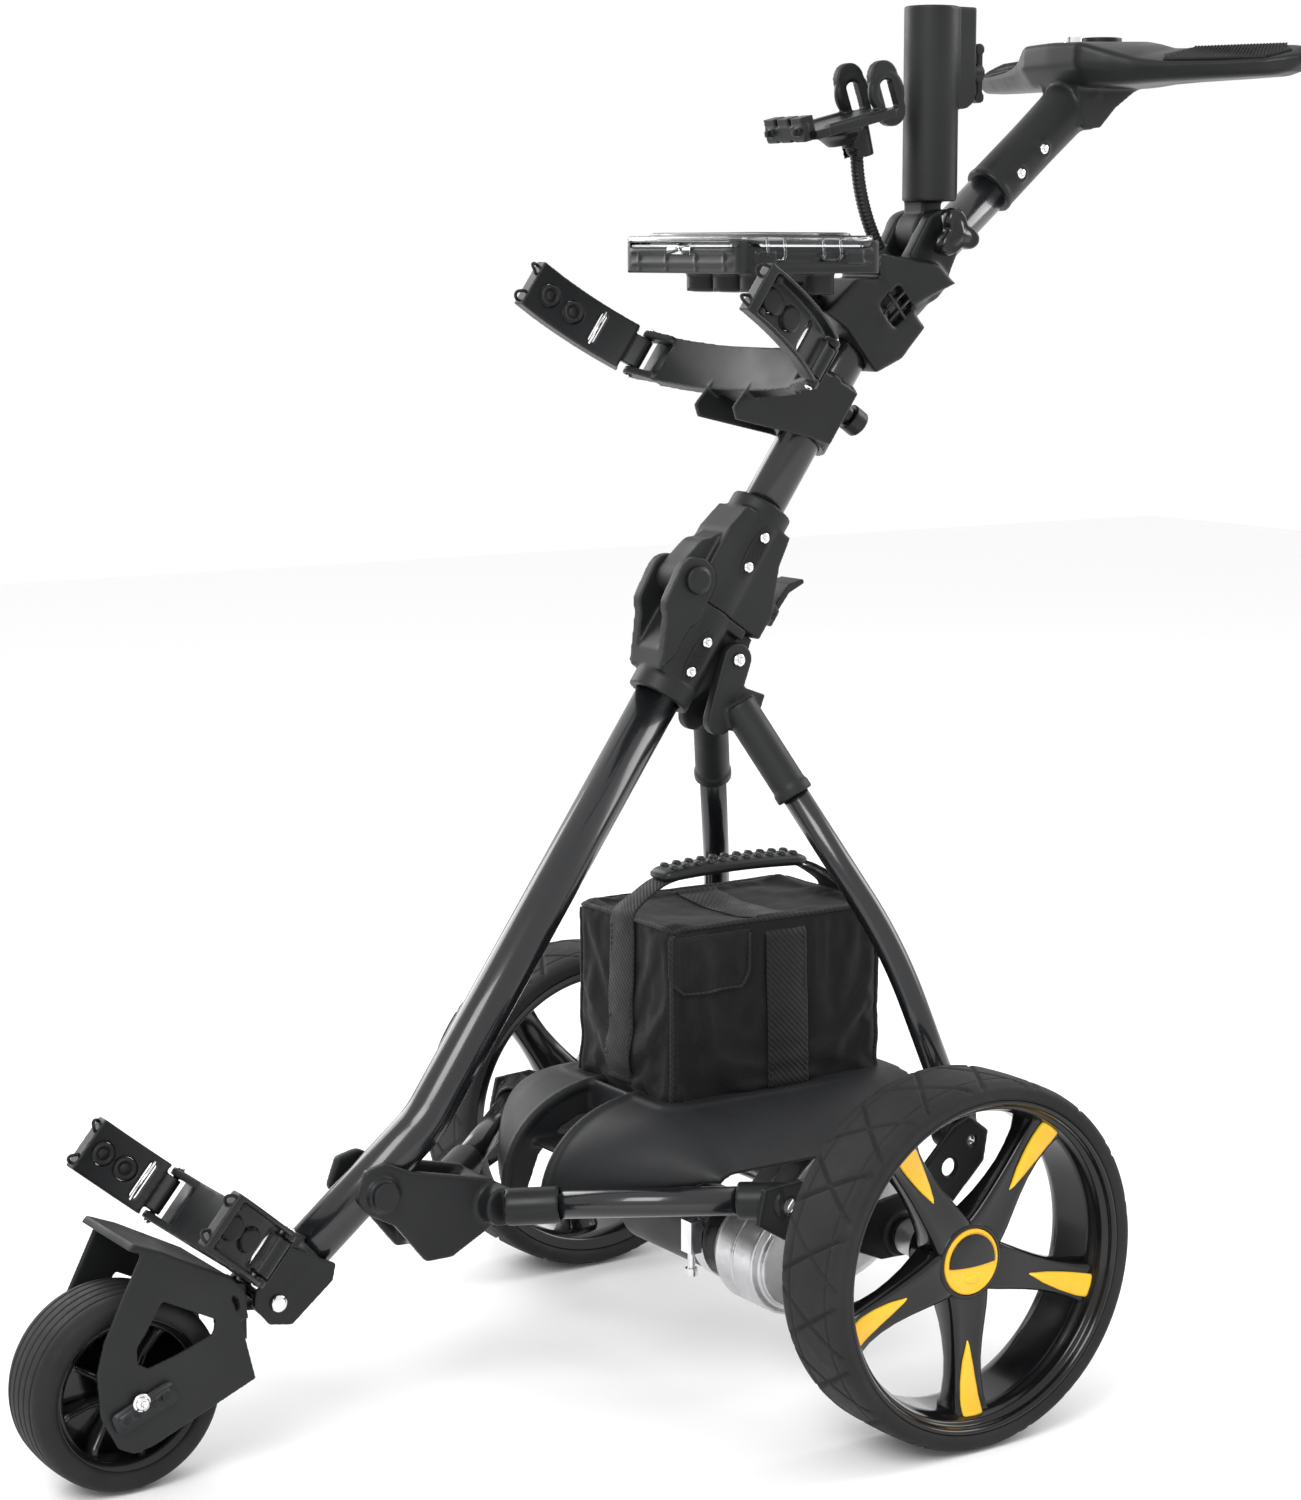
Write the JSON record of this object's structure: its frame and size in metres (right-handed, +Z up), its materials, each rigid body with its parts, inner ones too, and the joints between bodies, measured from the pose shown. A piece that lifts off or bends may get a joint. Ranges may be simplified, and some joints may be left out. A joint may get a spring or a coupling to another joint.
{
  "type": "electric golf trolley",
  "caption": "Three-wheeled electric golf trolley with a folding stem, T-shaped handle, two bag cradles, battery bag on a tray, motor with axle gear, umbrella, phone and scorecard holders.",
  "frame": {"origin": "centre of the footprint at floor level", "axes": "+X to the trolley's left, -Y towards the front wheel, +Z up"},
  "size_m": [0.6, 1.0324, 1.07],
  "materials": {
    "tube_paint": "satin black paint",
    "moulded": "fine-grained matte black plastic",
    "gloss_black": "glossy black plastic",
    "tyre_rubber": "dark grey treaded rubber",
    "bag_nylon": "black woven nylon",
    "webbing": "black woven webbing",
    "yellow": "glossy yellow plastic",
    "alloy": "plain cast alloy",
    "bright": "bright plated steel",
    "clear": "clear plastic sheet"
  },
  "bodies": {
    "frame": {"lower_tube": "tube_paint", "lower_hinge_bracket": "moulded", "fold_pin": "moulded", "y_bracket": "moulded", "leg_left": "tube_paint", "leg_right": "tube_paint", "leg_feet": "moulded", "base_bracket": "moulded", "base_pin": "moulded", "base_arms": "tube_paint", "axle_brackets": "moulded", "bearings": "bright", "battery_tray": "moulded", "battery_bag": "bag_nylon", "battery": "moulded", "bag_webbing": "webbing", "bag_handle": "moulded", "motor_can": "moulded", "gearbox_housing": "alloy", "gearbox_cover": "alloy", "motor_band": "bright", "lower_cradle_yoke": "moulded", "front_fork": "moulded", "front_axle": "bright", "frame_screws": "bright"},
    "front_wheel": {"front_tyre": "tyre_rubber", "front_rim": "gloss_black"},
    "axle": {"drive_axle": "alloy", "drive_gear": "alloy"},
    "motor": {"motor_rotor": "alloy"},
    "wheel_left": {"tyre_left": "tyre_rubber", "rim_left": "gloss_black", "wheel_trim_left": "yellow"},
    "wheel_right": {"tyre_right": "tyre_rubber", "rim_right": "gloss_black", "wheel_trim_right": "yellow"},
    "button_left": {"wheel_button_left": "yellow"},
    "button_right": {"wheel_button_right": "yellow"},
    "stem": {"upper_tube": "tube_paint", "upper_hinge_bracket": "moulded", "saddle_clamp": "moulded", "handle_head": "moulded", "stem_screws": "bright", "scorecard_tray": "moulded", "gooseneck": "tube_paint"},
    "latch": {"latch_lever": "moulded"},
    "dial": {"speed_dial": "moulded"},
    "power": {"power_button": "bright"},
    "lid": {"scorecard_lid": "clear"},
    "phone": {"phone_cradle": "moulded"},
    "jaw": {"phone_jaw": "moulded"},
    "upper_cradle": {"upper_cradle_yoke": "moulded"},
    "knob": {"cradle_knob": "moulded"},
    "arm_upper_left": {"upper_arm_left": "moulded"},
    "arm_upper_right": {"upper_arm_right": "moulded"},
    "arm_lower_left": {"lower_arm_left": "moulded"},
    "arm_lower_right": {"lower_arm_right": "moulded"},
    "umbrella": {"umbrella_tube": "moulded"},
    "tilt": {"tilt_knob": "gloss_black"},
    "clamp_screw": {"umbrella_screw": "moulded"}
  },
  "joints": [
    {"name": "handle_fold", "type": "hinge", "parent": "frame", "child": "stem", "pos_m": [0, 0.04566, 0.62792], "axis": [1, 0, 0], "range_deg": [0, 120]},
    {"name": "latch", "type": "hinge", "parent": "stem", "child": "latch", "pos_m": [0, 0.12091, 0.59441], "axis": [1, 0, 0], "range_deg": [-60, 0]},
    {"name": "upper_cradle_slide", "type": "slide", "parent": "stem", "child": "upper_cradle", "axis": [0, 0.5664, 0.8241], "range_m": [-0.045, 0.01]},
    {"name": "cradle_knob_turn", "type": "hinge", "parent": "upper_cradle", "child": "knob", "pos_m": [0, 0.18212, 0.76468], "axis": [0, 0.8241, -0.5664], "range_deg": [-180, 180]},
    {"name": "upper_arm_left_swing", "type": "hinge", "parent": "upper_cradle", "child": "arm_upper_left", "pos_m": [0.1229, 0.0894, 0.7956], "axis": [0, 0.5664, 0.8241], "range_deg": [-10, 20]},
    {"name": "upper_arm_right_swing", "type": "hinge", "parent": "upper_cradle", "child": "arm_upper_right", "pos_m": [-0.1229, 0.0894, 0.7956], "axis": [0, 0.5664, 0.8241], "range_deg": [-20, 10]},
    {"name": "lower_arm_left_swing", "type": "hinge", "parent": "frame", "child": "arm_lower_left", "pos_m": [0.09025, -0.3597, 0.1774], "axis": [0, 0.6428, 0.766], "range_deg": [-10, 20]},
    {"name": "lower_arm_right_swing", "type": "hinge", "parent": "frame", "child": "arm_lower_right", "pos_m": [-0.09025, -0.3597, 0.1774], "axis": [0, 0.6428, 0.766], "range_deg": [-20, 10]},
    {"name": "front_wheel_spin", "type": "hinge", "parent": "frame", "child": "front_wheel", "pos_m": [0, -0.4425, 0.0737], "axis": [1, 0, 0], "continuous": true},
    {"name": "axle_spin", "type": "hinge", "parent": "frame", "child": "axle", "pos_m": [0, 0.1182, 0.14], "axis": [1, 0, 0], "continuous": true},
    {"name": "motor_spin", "type": "hinge", "parent": "frame", "child": "motor", "pos_m": [0, 0.07037, 0.10614], "axis": [1, 0, 0], "continuous": true},
    {"name": "wheel_left_spin", "type": "hinge", "parent": "axle", "child": "wheel_left", "pos_m": [0, 0.1182, 0.14], "axis": [1, 0, 0], "continuous": true},
    {"name": "wheel_right_spin", "type": "hinge", "parent": "axle", "child": "wheel_right", "pos_m": [0, 0.1182, 0.14], "axis": [1, 0, 0], "continuous": true},
    {"name": "wheel_left_release", "type": "slide", "parent": "wheel_left", "child": "button_left", "axis": [-1, 0, 0], "range_m": [0, 0.0015], "stiffness_N_per_m": 500},
    {"name": "wheel_right_release", "type": "slide", "parent": "wheel_right", "child": "button_right", "axis": [1, 0, 0], "range_m": [0, 0.0015], "stiffness_N_per_m": 500},
    {"name": "umbrella_tilt", "type": "hinge", "parent": "stem", "child": "umbrella", "pos_m": [0, 0.2862, 0.891], "axis": [1, 0, 0], "range_deg": [-9, 5]},
    {"name": "tilt_knob_turn", "type": "hinge", "parent": "stem", "child": "tilt", "pos_m": [0, 0.2862, 0.891], "axis": [1, 0, 0], "range_deg": [-180, 180]},
    {"name": "umbrella_screw_turn", "type": "hinge", "parent": "umbrella", "child": "clamp_screw", "pos_m": [0, 0.3162, 1.019], "axis": [0, 1, 0], "range_deg": [-180, 180]},
    {"name": "scorecard_lid_swing", "type": "hinge", "parent": "stem", "child": "lid", "pos_m": [0, 0.1757, 0.8845], "axis": [1, 0, 0], "range_deg": [-60, 0]},
    {"name": "phone_tilt", "type": "hinge", "parent": "stem", "child": "phone", "pos_m": [-0.01, 0.2182, 0.958], "axis": [1, 0, 0], "range_deg": [-10, 10]},
    {"name": "phone_jaw_slide", "type": "slide", "parent": "phone", "child": "jaw", "axis": [0, -0.9703, -0.2419], "range_m": [0, 0.02], "stiffness_N_per_m": 60, "springref_m": -0.01},
    {"name": "speed_dial_turn", "type": "hinge", "parent": "stem", "child": "dial", "pos_m": [0, 0.4642, 1.046], "axis": [0, 0, 1], "range_deg": [-150, 150]},
    {"name": "power_press", "type": "slide", "parent": "stem", "child": "power", "axis": [0, 0, -1], "range_m": [0, 0.0015], "stiffness_N_per_m": 500, "springref_m": -0.0005}
  ],
  "couplings": [
    {"joint": "motor_spin", "follows": "axle_spin", "ratio": -5.5}
  ]
}
